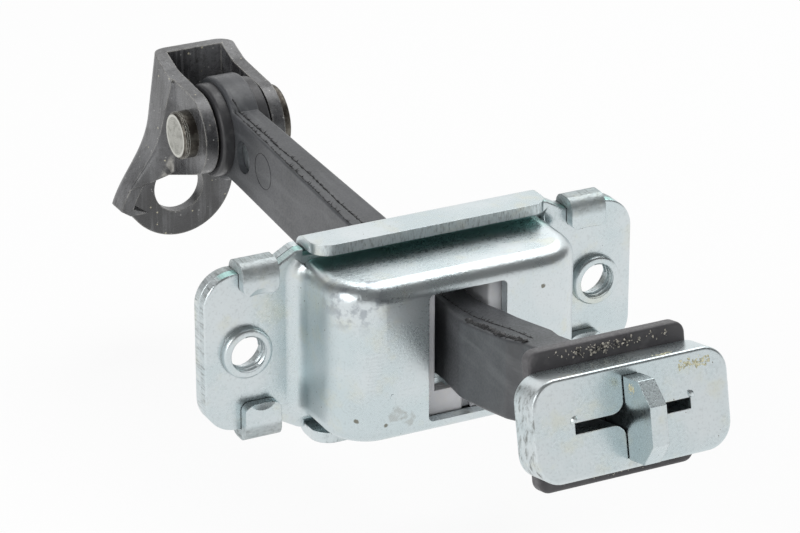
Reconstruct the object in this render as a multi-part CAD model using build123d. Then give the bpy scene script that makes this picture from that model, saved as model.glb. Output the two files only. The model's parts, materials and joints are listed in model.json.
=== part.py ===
from build123d import *
import os
from math import cos, radians, sin, tan

# Door check strap of a car door, in millimetres. X runs along the pivot pin, +Y towards the door
# pillar, -Y into the door and +Z up. The origin is midway between the two tapped holes, on the joint
# between base plate and cover. The strap is shown part-way open.

# Sheet and steel stock
sheet = 2.0
core_thickness = 3.0
bracket_sheet = 2.6

# Housing outline, seen from the front
plate_width = 85.0
plate_height = 29.8
plate_corner = 6.0
shoulder_rise = 2.2
shoulder_run = 3.9
shoulder_land = 1.1
shoulder_round = 2.0
relief_z = 15.9
relief_gap = 0.4
thread_bore = 6.8
collar_diameter = 9.4
collar_height = 1.6
collar_round = 0.7
clearance_hole = 9.0
die_roll = 0.4
seam_round = 0.3

# Base plate flanges and crimp tabs
flange_width = 46.0
flange_rise = 19.0
flange_reach = 6.7
flange_corner = 3.5
fold_radius = 3.0
tab_width = 6.9
tab_inset = 2.35
tab_upper_reach = 5.75
tab_lower_reach = 7.1
tab_fold = 2.3
tab_corner = 1.5
tab_gap = 0.15
coin_radius = 6.8
coin_depth = 0.7
coin_drop = 1.8
arm_slot_width = 10.6

# Drawn cover
box_width = 48.6
box_height = 30.0
box_depth = 19.1
box_corner = 8.5
box_edge = 3.2
root_radius = 2.7
root_turn = 45.0
root_lap = 0.5
window_width = 15.24
window_top = 11.9
window_bottom = -12.3
window_corner = 1.0

# Brake shoes, springs and spring seats
shoe_gap = 0.3
shoe_land = 5.2
shoe_back = 14.0
shoe_nose_y = -6.8
nose_clearance = 0.15
nose_round = 6.0
shoe_edge = 0.5
lip_sheet = 1.2
lip_gap = 0.3
lip_travel = 2.2
lip_clearance = 0.5
arm_swing = 3.4
spring_diameter = 9.6
spring_wire = 1.5
spring_turns = 4.0
spring_offset = 6.1
spring_y = -6.0
spring_play = 0.1
pocket_clearance = 0.4
pocket_depth = 4.0
seat_thickness = 2.5
seat_height = 19.6
seat_depth = 10.0
spigot_length = 2.5

# Arm: a strap with one bend, in side view
bend_y = -20.0
bend_z = 0.1
bend_radius = 100.0
rear_rise = 3.26
front_rise = 11.94
arm_height = 14.6
core_height = 9.6
pin_y = 80.9
pin_z = 6.7
plate_distance = 56.8

# Arm thickness in plan, from the eye to the bumper
eye_thickness = 5.7
eye_radius = 10.3
taper_start_y = 71.0
wedge_thickness = 8.8
valley_start_y = -8.5
valley_thickness = 6.4
valley_floor_y = -13.0
valley_floor_length = 3.0
bulge_start_y = -24.0
bulge_thickness = 9.0
bulge_end_y = -41.0
neck_start_y = -45.0
neck_thickness = 7.2
locator_diameter = 6.4
locator_y = 68.1
locator_z = 5.2
plan_round = 5.0
arm_edge = 0.6

# End stop
end_plate_width = 36.0
end_plate_height = 17.4
end_plate_thickness = 6.7
end_plate_corner = 4.5
end_plate_edge = 0.5
slot_length = 21.4
slot_height = 1.9
star_height = 6.7
bumper_width = 29.0
bumper_height = 23.8
bumper_thickness = 3.0
bumper_corner = 2.0
bumper_edge = 0.6
neck_height = 5.6
head_height = 13.9
head_straight = 5.0
head_length = 8.4
head_nose = 6.6
head_gap = 0.3
slot_play = 0.1

# Pivot
pin_diameter = 9.3
pin_head_diameter = 13.4
pin_head_height = 2.0
pin_stick_out = 3.0
pin_edge = 0.4
running_clearance = 0.05
bush_diameter = 13.0
bush_flange_diameter = 18.4
bush_flange_thickness = 2.4
bush_edge = 0.6
bush_gap = 0.6

# Pillar bracket
ear_radius = 8.2
ear_slope = 20.0
web_distance = 16.1
bracket_top = 17.8
ear_top = 15.8
ear_rise = 5.5
ear_rise_round = 7.0
bracket_fold = 3.2
foot_hole = 10.6
foot_x = -4.05
foot_z = -11.2
foot_radius = 11.9
foot_lift = 1.6
foot_start = 206.0
foot_end = 20.0
flank_x = -18.5
flank_end_z = -12.3
flank_tip_z = -13.6
flank_depth = 4.7
flank_lean = 1.8
flank_flare_z = 5.0
flank_end_lean = 0.35
crease_y = 87.6
crease_slope = 0.26
crease_lap = 1.0

# Derived places in the housing
half_plate = plate_height / 2
shoulder_z = half_plate + shoulder_rise
root_x = box_width / 2 + root_radius
hole_x = (root_x + plate_width / 2) / 2
tab_x = hole_x - tab_inset
inner_half_width = box_width / 2 - sheet
inner_front_y = sheet - box_depth
window_height = window_top - window_bottom
window_z = (window_top + window_bottom) / 2

# Derived places along the arm, as (y, z)
rear_angle = radians(rear_rise)
front_angle = radians(front_rise)
bend_point = Vector(bend_y, bend_z)
rear_way = Vector(cos(rear_angle), sin(rear_angle))
front_way = Vector(-cos(front_angle), sin(front_angle))
rear_up = Vector(-sin(rear_angle), cos(rear_angle))
front_up = Vector(sin(front_angle), cos(front_angle))
bend_half = (rear_angle + front_angle) / 2
bend_tangent = bend_radius * tan(bend_half)
bend_centre = bend_point + rear_way * bend_tangent + rear_up * bend_radius
bend_middle = (bend_point - bend_centre).normalized()
wedge_slope = (wedge_thickness - eye_thickness) / 2 / (taper_start_y - valley_start_y)
nose_half = wedge_thickness / 2 - wedge_slope * (shoe_nose_y - valley_start_y) + nose_clearance
bumper_back = plate_distance - end_plate_thickness - bumper_thickness
end_point = bend_point + front_way * plate_distance
end_plane = Plane(
    origin=(0, end_point.X, end_point.Y),
    x_dir=(1, 0, 0),
    z_dir=(0, front_way.X, front_way.Y),
)

# Derived places at the pivot and the bracket
bush_face = eye_thickness / 2 + bush_flange_thickness
ear_inside = bush_face + bush_gap
ear_outside = ear_inside + bracket_sheet
web_front_y = pin_y + web_distance
web_back_y = web_front_y + bracket_sheet
spring_seat_x = inner_half_width - seat_thickness
pocket_floor_x = shoe_back - pocket_depth


def across(sketch, low, high):
    """Solid of a side-view sketch (y, z) between two X stations."""
    return extrude(Plane.YZ.offset(low) * sketch, amount=high - low, dir=(1, 0, 0))


def upright(sketch, low, high):
    """Solid of a plan sketch (x, y) between two heights."""
    return extrude(Plane.XY.offset(low) * sketch, amount=high - low, dir=(0, 0, 1))


def facing(sketch, back, front):
    """Solid of a front-view sketch (x, z) between two Y stations, front being the lower."""
    return extrude(Plane.XZ.offset(-back) * sketch, amount=back - front, dir=(0, -1, 0))


def rod_x(radius, low, high, y, z):
    """Round bar along X."""
    return across(Pos(y, z) * Circle(radius), low, high)


def rod_y(radius, back, front, x, z):
    """Round bar along Y."""
    return facing(Pos(x, z) * Circle(radius), back, front)


def span(low_u, high_u, low_v, high_v):
    """Rectangle sketch between two corners."""
    centre = Pos((low_u + high_u) / 2, (low_v + high_v) / 2)
    return centre * Rectangle(high_u - low_u, high_v - low_v)


def both_sides(solid):
    """The solid and its mirror image across the middle plane X = 0."""
    return solid + mirror(solid, about=Plane.YZ)


def housing_outline():
    """Front outline of plate and cover: two ears that climb to a shoulder at each end of the flanges,
    with a relief between the shoulders for the fold."""
    relief_x = flange_width / 2 + relief_gap
    top_x = relief_x + shoulder_land
    foot = top_x + shoulder_run
    shoulders = Polygon(
        (foot, half_plate),
        (top_x, shoulder_z),
        (relief_x, shoulder_z),
        (relief_x, 0),
        (foot, 0),
        align=None,
    )
    shoulders += mirror(shoulders, about=Plane.XZ)
    shoulders += mirror(shoulders, about=Plane.YZ)
    outline = RectangleRounded(plate_width, plate_height, plate_corner) + shoulders
    outline += Rectangle(2 * relief_x, 2 * relief_z)
    ramp = [v for v in outline.vertices() if abs(v.X) > relief_x + shoulder_land / 2]
    ramp = [v for v in ramp if abs(v.X) < foot + shoulder_land / 2]
    return fillet(ramp, shoulder_round)


def crimp_tab(reach):
    """Tab that folds over the upper edge of the right-hand ear and grips it, coined at its tip."""
    over = half_plate + sheet
    tip = over - reach
    ear_front = -sheet - tab_gap
    front = ear_front - sheet
    profile = span(front, sheet, tip, over)
    top = profile.vertices().sort_by(Axis.Y)[-2:]
    profile = fillet(top, tab_fold) - span(ear_front, 0, tip, half_plate)
    profile -= span(0, sheet, tip, half_plate - sheet)
    leaf = span(tab_x - tab_width / 2, tab_x + tab_width / 2, tip, over)
    leaf = fillet(leaf.vertices().sort_by(Axis.Y)[:2], tab_corner)
    body = across(profile, tab_x - tab_width, tab_x + tab_width) & facing(leaf, sheet, front)
    coin_y = front - coin_radius + coin_depth
    return body - Pos(tab_x, coin_y, tip - coin_drop) * Sphere(coin_radius)


def base_plate():
    """Plate with a folded flange above and below, four crimp tabs and the arm slot."""
    plate = facing(housing_outline(), sheet, 0)
    plate = fillet(plate.faces().sort_by(Axis.Y)[0].edges(), seam_round)
    outer = span(-flange_reach, sheet, -flange_rise, flange_rise)
    outer = fillet(outer.vertices().sort_by(Axis.X)[-2:], fold_radius)
    inside = flange_rise - sheet
    inner = span(-2 * flange_reach, 0, -inside, inside)
    inner = fillet(inner.vertices().sort_by(Axis.X)[-2:], fold_radius - sheet)
    channel = across(outer - inner, -flange_width / 2, flange_width / 2)
    plan = span(-flange_width / 2, flange_width / 2, -flange_reach, sheet)
    plan = fillet(plan.vertices().sort_by(Axis.Y)[:2], flange_corner)
    channel &= upright(plan, -flange_rise, flange_rise)
    tabs = crimp_tab(tab_upper_reach) + mirror(crimp_tab(tab_lower_reach), about=Plane.XY)
    slot = Pos(0, window_z) * RectangleRounded(arm_slot_width, window_height, window_corner)
    body = plate + channel + both_sides(tabs) - facing(slot, sheet, 0)
    hole = rod_y(clearance_hole / 2, sheet, 0, hole_x, 0)
    return body - both_sides(hole)


def drawn_box(shrink):
    """Box drawn forward from the ears, smaller all round by `shrink`, round at its front edges."""
    half_width = box_width / 2 - shrink
    half_height = box_height / 2 - shrink
    plan = span(-half_width, half_width, shrink - box_depth, 0)
    plan = fillet(plan.vertices().sort_by(Axis.Y)[:2], box_corner - shrink)
    body = upright(plan, -half_height, half_height)
    rims = body.faces().sort_by(Axis.Z)[-1].edges() + body.faces().sort_by(Axis.Z)[0].edges()
    front = [e for e in rims if e.center().Y < -sheet / 2]
    return fillet(front, box_edge - shrink)


def tapped_collar():
    """Extruded collar round a tapped hole, on the front of the right-hand ear."""
    collar = rod_y(collar_diameter / 2, -sheet, -sheet - collar_height, hole_x, 0)
    rim = collar.edges().filter_by(GeomType.CIRCLE).sort_by(Axis.Y)[0]
    return fillet(rim, collar_round)


def drawn_root():
    """Concave root between the right-hand box wall and its ear, which runs a little way round the
    corners of the box."""
    wall = box_width / 2
    corner = box_height / 2 - box_edge
    tip = -sheet - root_radius
    section = make_face(
        [
            CenterArc((root_x, tip), root_radius, 90, 90),
            Line((wall, tip), (wall - root_lap, tip)),
            Line((wall - root_lap, tip), (wall - root_lap, root_lap - sheet)),
            Line((wall - root_lap, root_lap - sheet), (root_x, root_lap - sheet)),
            Line((root_x, root_lap - sheet), (root_x, -sheet)),
        ]
    )
    turn = CenterArc((wall - box_edge, corner), box_edge, 0, root_turn)
    way = Plane.XZ.offset(sheet) * (Line((wall, 0), (wall, corner)) + turn)
    upper = sweep(section, path=way)
    return upper + mirror(upper, about=Plane.XY)


def housing_cover():
    """Drawn cover: ears, box with the window, and the two tapped collars."""
    ears = facing(housing_outline(), 0, -sheet)
    body = fillet(ears.faces().sort_by(Axis.Y)[0].edges(), die_roll) + drawn_box(0)
    body += both_sides(drawn_root() + tapped_collar())
    window = Pos(0, window_z) * RectangleRounded(window_width, window_height, window_corner)
    body -= drawn_box(sheet) + facing(window, inner_front_y + sheet, -box_depth)
    hole = rod_y(thread_bore / 2, 0, -sheet - collar_height, hole_x, 0)
    return body - both_sides(hole)


def shoe_lips(plan, half_height):
    """Lips of a shoe below and above the heights that the arm sweeps."""
    low = bend_z - arm_height / 2 - lip_clearance
    high = bend_z + arm_height / 2 + arm_swing
    return upright(plan, -half_height, low) + upright(plan, high, half_height)


def brake_shoe(front_lip_x, rear_lip_x):
    """Right-hand shoe: a nose that rides on the arm, a front land, two spring pockets, and lips in two layers,
    which reach to the given places and lap over those of the other shoe."""
    front = inner_front_y + shoe_gap
    behind = front + lip_sheet + lip_gap
    lip_root = shoe_land + lip_sheet
    half_height = box_height / 2 - sheet - shoe_gap
    plan = Polygon(
        (shoe_back, front),
        (shoe_land, front),
        (nose_half, shoe_nose_y),
        (shoe_land, -shoe_gap),
        (shoe_back, -shoe_gap),
        align=None,
    )
    plan = fillet(plan.vertices().sort_by(Axis.X)[0], nose_round)
    plan = fillet(plan.vertices().sort_by(Axis.X)[2:4], shoe_edge)
    body = upright(plan, -half_height, half_height)
    body += shoe_lips(span(front_lip_x, lip_root, front, front + lip_sheet), half_height)
    body += shoe_lips(span(rear_lip_x, lip_root, behind, behind + lip_sheet), half_height)
    body &= drawn_box(sheet + shoe_gap)
    for z in (-spring_offset, spring_offset):
        pocket = spring_diameter / 2 + pocket_clearance
        body -= rod_x(pocket, pocket_floor_x, shoe_back, spring_y, z)
    return body


def spring_seat():
    """Right-hand seat against the box wall, with a spigot inside each spring."""
    half_height = seat_height / 2
    face = span(-shoe_gap - seat_depth, -shoe_gap, -half_height, half_height)
    body = across(face, spring_seat_x, inner_half_width)
    for z in (-spring_offset, spring_offset):
        spigot = spring_diameter / 2 - spring_wire - pocket_clearance
        body += rod_x(spigot, spring_seat_x - spigot_length, spring_seat_x, spring_y, z)
    return body


def shoe_spring(z):
    """Coil spring between the right-hand shoe's pocket and its seat."""
    start = pocket_floor_x + spring_wire / 2 + spring_play
    length = spring_seat_x - spring_wire / 2 - spring_play - start
    coil = Helix(
        pitch=length / spring_turns,
        height=length,
        radius=(spring_diameter - spring_wire) / 2,
        center=(start, spring_y, z),
        direction=(1, 0, 0),
    )
    section = Plane(origin=coil @ 0, z_dir=coil % 0) * Circle(spring_wire / 2)
    return sweep(section, path=coil)


def strip(half, rear, front):
    """Side-view outline along the arm's centreline, `half` above and below it, between two distances
    from the bend: `rear` behind it and `front` ahead of it."""
    edges = []
    ends = []
    for side in (half, -half):
        back = bend_point + rear_way * rear + rear_up * side
        rear_tangent = bend_point + rear_way * bend_tangent + rear_up * side
        middle = bend_centre + bend_middle * (bend_radius - side)
        front_tangent = bend_point + front_way * bend_tangent + front_up * side
        tip = bend_point + front_way * front + front_up * side
        edges += [
            Line(back, rear_tangent),
            ThreePointArc(rear_tangent, middle, front_tangent),
            Line(front_tangent, tip),
        ]
        ends.append((back, tip))
    edges += [Line(ends[0][0], ends[1][0]), Line(ends[0][1], ends[1][1])]
    return make_face(edges)


def eye_distance():
    """Distance from the bend to the foot of the pin on the arm's rear line."""
    return (Vector(pin_y, pin_z) - bend_point).dot(rear_way)


def arm_core():
    """Flat steel strap: pivot eye, bend, neck and hammer head."""
    eye = Pos(pin_y, pin_z) * Circle(eye_radius - core_thickness / 2)
    strap = strip(core_height / 2, eye_distance(), bumper_back)
    neck = strip(neck_height / 2, eye_distance(), plate_distance + head_gap)
    body = across(strap + eye + neck, -core_thickness / 2, core_thickness / 2)
    head = Polygon(
        (-head_height / 2, head_gap),
        (-head_height / 2, head_straight),
        (-head_nose / 2, head_length),
        (head_nose / 2, head_length),
        (head_height / 2, head_straight),
        (head_height / 2, head_gap),
        align=None,
    )
    flat = Plane(
        origin=end_plane.origin - end_plane.x_dir * (core_thickness / 2),
        x_dir=end_plane.y_dir,
        z_dir=end_plane.x_dir,
    )
    body += extrude(flat * head, amount=core_thickness, dir=(1, 0, 0))
    bore = rod_x(bush_diameter / 2, -core_thickness, core_thickness, pin_y, pin_z)
    return body - bore


def arm_plan():
    """Plan outline of the moulding: wedge, detent valley, bulge and neck, the same on both sides."""
    stations = [
        (pin_y + eye_radius, eye_thickness),
        (taper_start_y, eye_thickness),
        (valley_start_y, wedge_thickness),
        (valley_floor_y, valley_thickness),
        (valley_floor_y - valley_floor_length, valley_thickness),
        (bulge_start_y, bulge_thickness),
        (bulge_end_y, bulge_thickness),
        (neck_start_y, neck_thickness),
        (end_point.X, neck_thickness),
    ]
    right = [(thickness / 2, y) for y, thickness in stations]
    left = [(-x, y) for x, y in reversed(right)]
    outline = Polygon(*right, *left, align=None)
    kinks = [v for v in outline.vertices() if end_point.X < v.Y < pin_y]
    return fillet(kinks, plan_round)


def arm_sleeve(core):
    """Plastic moulded over the strap, from the eye to the bumper."""
    side = strip(arm_height / 2, eye_distance(), bumper_back)
    body = across(side, -bulge_thickness, bulge_thickness)
    body &= upright(arm_plan(), bend_z - 2 * arm_height, pin_z + 2 * arm_height)
    body = fillet([e for e in body.edges() if abs((e % 0.5).Y) > 0.5], arm_edge)
    eye = rod_x(eye_radius, -eye_thickness / 2, eye_thickness / 2, pin_y, pin_z)
    body += fillet(eye.edges().filter_by(GeomType.CIRCLE), arm_edge)
    body -= rod_x(bush_diameter / 2, -bulge_thickness, bulge_thickness, pin_y, pin_z)
    body -= rod_x(locator_diameter / 2, -bulge_thickness, 0, locator_y, locator_z)
    return body - core


def end_block(width, height, thickness, corner, edge, back):
    """Rounded block square to the arm's end, its back face `back` behind the end plate's front."""
    sketch = end_plane.offset(-back) * RectangleRounded(width, height, corner)
    body = extrude(sketch, amount=thickness, dir=end_plane.z_dir)
    rims = body.faces().sort_by(Axis(end_plane.origin, end_plane.z_dir))
    return fillet(rims[-1].edges() + rims[0].edges(), edge)


def end_plate():
    """Thick stop plate with a cross-shaped slot, locked behind the hammer head."""
    body = end_block(
        end_plate_width,
        end_plate_height,
        end_plate_thickness,
        end_plate_corner,
        end_plate_edge,
        end_plate_thickness,
    )
    slot_width = core_thickness + 2 * slot_play
    cross = Rectangle(slot_length, slot_height) + Rectangle(slot_width, star_height)
    inner = [v for v in cross.vertices() if abs(v.X) < slot_width and abs(v.Y) < slot_height]
    cross = fillet(inner, (star_height - slot_height) / 2 - slot_play)
    return body - extrude(end_plane * cross, amount=-end_plate_thickness)


def bumper():
    """Rubber block between the moulding and the end plate, with a slot for the neck."""
    depth = end_plate_thickness + bumper_thickness
    body = end_block(
        bumper_width, bumper_height, bumper_thickness, bumper_corner, bumper_edge, depth
    )
    slot = Rectangle(core_thickness + 2 * slot_play, neck_height + 2 * slot_play)
    return body - extrude(end_plane * slot, amount=-depth)


def pivot_bush():
    """Right-hand flanged bush: barrel in the eye, flange between eye and bracket ear."""
    barrel = rod_x(bush_diameter / 2 - running_clearance, 0, bush_face, pin_y, pin_z)
    flange = rod_x(bush_flange_diameter / 2, eye_thickness / 2, bush_face, pin_y, pin_z)
    rim = flange.edges().filter_by(GeomType.CIRCLE).sort_by(Axis.X)[-1]
    bore = rod_x(pin_diameter / 2 + running_clearance, 0, bush_face, pin_y, pin_z)
    return barrel + fillet(rim, bush_edge) - bore


def pivot_pin():
    """Rivet pin with a head on the right and a plain turned end on the left."""
    shank = rod_x(pin_diameter / 2, -ear_outside - pin_stick_out, ear_outside, pin_y, pin_z)
    head = rod_x(
        pin_head_diameter / 2, ear_outside, ear_outside + pin_head_height, pin_y, pin_z
    )
    end = shank.edges().filter_by(GeomType.CIRCLE).sort_by(Axis.X)[0]
    rim = head.edges().filter_by(GeomType.CIRCLE).sort_by(Axis.X)[-1]
    return chamfer(end, pin_edge) + fillet(rim, pin_edge)


def bracket_outline(inset):
    """Front outline of the bracket, moved in by `inset`: ears above, flared flank and round foot."""
    left = -ear_outside + inset
    right = ear_outside - inset
    radius = foot_radius - inset
    foot_centre = Vector(foot_x, foot_z + foot_lift)
    start = radians(foot_start)
    end = radians(foot_end)
    foot_left = foot_centre + Vector(cos(start), sin(start)) * radius
    foot_bottom = foot_centre - Vector(0, radius)
    foot_side = foot_centre + Vector(cos(end), sin(end)) * radius
    flank_end = Vector(flank_x + inset, flank_end_z)
    flare_start = Vector(left - flank_lean, flank_flare_z)
    lean_way = Vector(-flank_lean, flank_flare_z - bracket_top).normalized()
    end_way = Vector(-flank_end_lean, -1)
    edges = [
        Line((left, bracket_top), flare_start),
        Spline(flare_start, flank_end, tangents=[lean_way, end_way]),
        Line(flank_end, foot_left),
        ThreePointArc(foot_left, foot_bottom, foot_side),
        Line(foot_side, (right, pin_z - ear_radius)),
        Line((right, pin_z - ear_radius), (right, bracket_top)),
        Line((right, bracket_top), (left, bracket_top)),
    ]
    return make_face(edges)


def ear_profile():
    """Side view of one ear: round end about the pin, running back to the web and down below it."""
    nose = Pos(pin_y, pin_z) * Circle(ear_radius)
    slope = radians(ear_slope)
    under = Vector(pin_y, pin_z) - Vector(sin(slope), cos(slope)) * ear_radius
    back = Polygon(
        (pin_y, pin_z + ear_radius),
        (web_front_y - ear_rise, ear_top),
        (web_front_y, bracket_top),
        (web_back_y, bracket_top),
        (web_back_y, under.Y - (web_back_y - under.X) * tan(slope)),
        (under.X, under.Y),
        align=None,
    )
    rise = back.vertices().sort_by_distance((web_front_y - ear_rise, ear_top))[0]
    return nose + fillet(rise, ear_rise_round)


def flank_profile():
    """Side view of the left-hand flank, from the crease in the ear back to the web."""
    front = web_front_y - flank_depth
    ear_bottom = pin_z - ear_radius
    return Polygon(
        (crease_y, bracket_top),
        (crease_y + crease_slope * (bracket_top - ear_bottom) - crease_lap, ear_bottom),
        (front, flank_end_z / 2),
        (front, flank_tip_z),
        (web_back_y, flank_end_z),
        (web_back_y, bracket_top),
        align=None,
    )


def pivot_bracket():
    """Folded bracket: web with the round bolt foot, two ears and the flared left flank."""
    ear = ear_profile()
    ear_front = pin_y - ear_radius
    solid = facing(bracket_outline(0), web_back_y, ear_front)
    rear = solid.faces().sort_by(Axis.Y)[-1].edges()
    left_fold = [e for e in rear if e.center().X < -ear_inside and e.center().Z > flank_end_z]
    right_fold = [e for e in rear if e.center().X > ear_inside and e.center().Z > pin_z - ear_radius]
    solid = fillet(left_fold + right_fold, bracket_fold)
    walls = solid - facing(bracket_outline(bracket_sheet), web_front_y, ear_front)
    skirt = span(ear_front, web_back_y, 2 * flank_tip_z, pin_z)
    flank = walls & across(flank_profile() & (ear + skirt), 2 * flank_x, -ear_inside / 2)
    flat_ear = ear & span(ear_front, web_front_y, flank_tip_z, bracket_top)
    left = across(flat_ear, -ear_outside, -ear_inside)
    right = walls & across(ear, ear_inside / 2, 2 * ear_outside)
    web = solid & facing(bracket_outline(0), web_back_y, web_front_y)
    body = web + flank + left + right
    body -= rod_x(pin_diameter / 2, 2 * flank_x, 2 * ear_outside, pin_y, pin_z)
    return body - rod_y(foot_hole / 2, web_back_y, web_front_y, foot_x, foot_z)


core = arm_core()
parts = {
    "base_plate": base_plate(),
    "housing_cover": housing_cover(),
    "arm_core": core,
    "arm_sleeve": arm_sleeve(core),
    "bumper": bumper(),
    "end_plate": end_plate(),
    "brake_shoe_right": brake_shoe(lip_travel, -lip_gap),
    "brake_shoe_left": mirror(brake_shoe(0, lip_travel + lip_gap), about=Plane.YZ),
    "pivot_pin": pivot_pin(),
    "pivot_bracket": pivot_bracket(),
}
paired = {
    "spring_seat": spring_seat(),
    "pivot_bush": pivot_bush(),
    "spring_upper": shoe_spring(spring_offset),
    "spring_lower": shoe_spring(-spring_offset),
}
for name, solid in paired.items():
    parts[name + "_right"] = solid
    parts[name + "_left"] = mirror(solid, about=Plane.YZ)

os.makedirs("parts", exist_ok=True)
for name, solid in parts.items():
    solid.label = name
    export_step(solid, os.path.join("parts", name + ".step"))
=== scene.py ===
import json
import math
import random

import bmesh
import bpy
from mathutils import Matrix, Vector


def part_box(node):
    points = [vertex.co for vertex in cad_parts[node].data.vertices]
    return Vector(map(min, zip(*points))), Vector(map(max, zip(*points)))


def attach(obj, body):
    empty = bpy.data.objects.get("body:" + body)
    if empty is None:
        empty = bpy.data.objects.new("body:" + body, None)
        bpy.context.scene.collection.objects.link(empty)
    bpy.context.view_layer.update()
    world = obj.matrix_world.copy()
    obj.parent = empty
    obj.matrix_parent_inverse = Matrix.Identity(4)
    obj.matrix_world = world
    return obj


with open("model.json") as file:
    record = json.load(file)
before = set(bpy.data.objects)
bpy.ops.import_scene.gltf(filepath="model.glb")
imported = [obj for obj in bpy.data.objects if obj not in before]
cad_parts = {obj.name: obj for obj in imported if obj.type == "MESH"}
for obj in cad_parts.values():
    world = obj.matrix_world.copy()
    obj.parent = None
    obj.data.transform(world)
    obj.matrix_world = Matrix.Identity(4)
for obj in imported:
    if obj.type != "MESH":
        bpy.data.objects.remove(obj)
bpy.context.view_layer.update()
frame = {"nodes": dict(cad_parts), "record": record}
nodes = frame["nodes"]

MM = 0.001
MICRON = 0.000001
X, Y, Z = range(3)
RIGHT = Vector((1, 0, 0))
BACK = Vector((0, 1, 0))
UP = Vector((0, 0, 1))

# Colours of the zinc plating and of the marks on it, and of the painted shade in seams, the painted dark
# reflection on the cover's corner and the painted shade tint under its flange
ZINC_COOL = (0.59, 0.67, 0.69)
ZINC_PALE = (0.68, 0.73, 0.745)
ZINC_WARM = (0.66, 0.68, 0.60)
ZINC_DARK = (0.20, 0.21, 0.20)
ZINC_TORN = (0.80, 0.82, 0.80)
ZINC_BURR = (0.83, 0.81, 0.70)
SPECK = (0.16, 0.14, 0.11)
SEAM_SHADE_AND_DIRT = (0.045, 0.055, 0.052)
CORNER_DARK_REFLECTION = (0.23, 0.26, 0.30)
FLANGE_SHADE_TINT = (0.42, 0.72, 0.67)
SMUDGE_SHADE = (0.34, 0.34, 0.31)
SCAR_SHADE = (0.22, 0.22, 0.19)

# Colours of the black coating and of what rubbed, stained or stuck to it
COAT_DARK = (0.026, 0.026, 0.028)
COAT_PALE = (0.115, 0.117, 0.123)
COAT_STREAK = (0.145, 0.147, 0.153)
COAT_WORN = (0.40, 0.39, 0.36)
COAT_STAIN = (0.016, 0.016, 0.016)
COAT_CRUST = (0.46, 0.43, 0.31)
COAT_DUST = (0.36, 0.36, 0.35)

# Colours of the pin's turned end faces and oily sides, and of the dust on the plastic
FACE_DARK = (0.33, 0.33, 0.30)
FACE_PALE = (0.47, 0.47, 0.43)
FACE_STAIN = (0.19, 0.19, 0.165)
FACE_RIM = (0.66, 0.66, 0.61)
OIL_DARK = (0.055, 0.048, 0.040)
OIL_PALE = (0.16, 0.15, 0.13)
PIN_EDGE = (0.62, 0.62, 0.57)
PLASTIC_DUST = (0.30, 0.30, 0.29)

# Depths of the surface textures and rounding of the edges
GRAIN_DEPTH = 14 * MICRON
SMOOTH_DEPTH = 8 * MICRON
CRUMB_DEPTH = 30 * MICRON
ZINC_ROUND = 0.2 * MM
COAT_ROUND = 0.3 * MM
PLASTIC_ROUND = 0.3 * MM
PIN_ROUND = 0.25 * MM
WIRE_ROUND = 0.2 * MM
CRUMB_ROUND = 0.1 * MM

# Widths of the marks along edges, and reach of the shade and dirt painted into seams
SEAM_SHADE_REACH = 0.7 * MM
BURR_WIDTH = 0.45 * MM
COAT_WEAR = 0.5 * MM
PIN_WEAR = 0.3 * MM

# Dots on the surfaces: spacing, radius and share of the places that hold one
ZINC_SPECKS = (1.9 * MM, 0.13 * MM, 0.30)
COAT_CRUSTS = (1.5 * MM, 0.24 * MM, 0.22)
COAT_DUSTS = (1.0 * MM, 0.17 * MM, 0.24)
PLASTIC_DUSTS = (1.8 * MM, 0.07 * MM, 0.25)

# Pressed sheets: where the marks of cutting and folding start and where they are full, or fade out
RIM_START = (-2.3 * MM, -2.0 * MM)
RIM_END = (17.2 * MM, 17.5 * MM)
FLANGE_FRONT = (-5.6 * MM, -6.4 * MM)
TAB_SIDE = (28.2 * MM, 28.6 * MM)
TAB_FOLD = (13.4 * MM, 14.6 * MM)

# Drawn cover: crumpled corner with a painted dark reflection, painted shade tint under the flange, forming
# rings, ripples, smudges, scars and a dent
DRAFT = math.radians(6)
CORNER_CENTRE = Vector((-20.0, -15.5, 12.5)) * MM
CORNER_FADE = (3.0 * MM, 7.5 * MM)
FLANGE_SHADE_FRONT = (-9.0 * MM, -4.5 * MM)
FLANGE_SHADE_LEVEL = (14.0 * MM, 14.5 * MM)
RING_CENTRE = Vector((-21.5, -16.9, -7.2)) * MM
RING_REACH = 4.2 * MM
RING_SPACING = 0.62 * MM
RIPPLE_SPACING = 0.70 * MM
RIPPLE_LEFT = (-20.2 * MM, -18.8 * MM)
RIPPLE_RIGHT = (-17.2 * MM, -15.6 * MM)
RIPPLE_BOTTOM = (-5.5 * MM, -3 * MM)
RIPPLE_TOP = (3 * MM, 5 * MM)
SMUDGE_CENTRES = (Vector((-14.0, -19.1, -9.5)) * MM, Vector((-11.6, -19.0, -10.8)) * MM)
SMUDGE_RADIUS = 1.5 * MM
SCAR_CENTRES = (
    Vector((14.7, -19.1, 9.2)) * MM,
    Vector((-16.1, -18.9, -11.2)) * MM,
    Vector((-20.9, -17.4, -10.0)) * MM,
)
SCAR_RADIUS = 0.55 * MM
DENT_CENTRE = Vector((-14.65, -19.1, -5.9)) * MM
DENT_RADIUS = 0.5 * MM
DENT_START = 70
DENT_STEP = 14
DENT_POINTS = 13
DENT_WIDTH = 0.04 * MM
DENT_SWELL = 0.26 * MM

# Tapped holes
HOLE_X = frame["record"]["mounts"][0]["dims"]["spacing_x_mm"] / 2 * MM
BORE_RADIUS = frame["record"]["mounts"][0]["dims"]["hole_r_mm"] * MM
THREAD_PITCH = 1.25 * MM
THREAD_DEPTH = 0.28 * MM
THREAD_START = -0.35 * MM
THREAD_TURNS = 2.3
THREAD_STEPS = 36
THREAD_ROOT = 0.42
THREAD_CREST = 0.15

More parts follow.
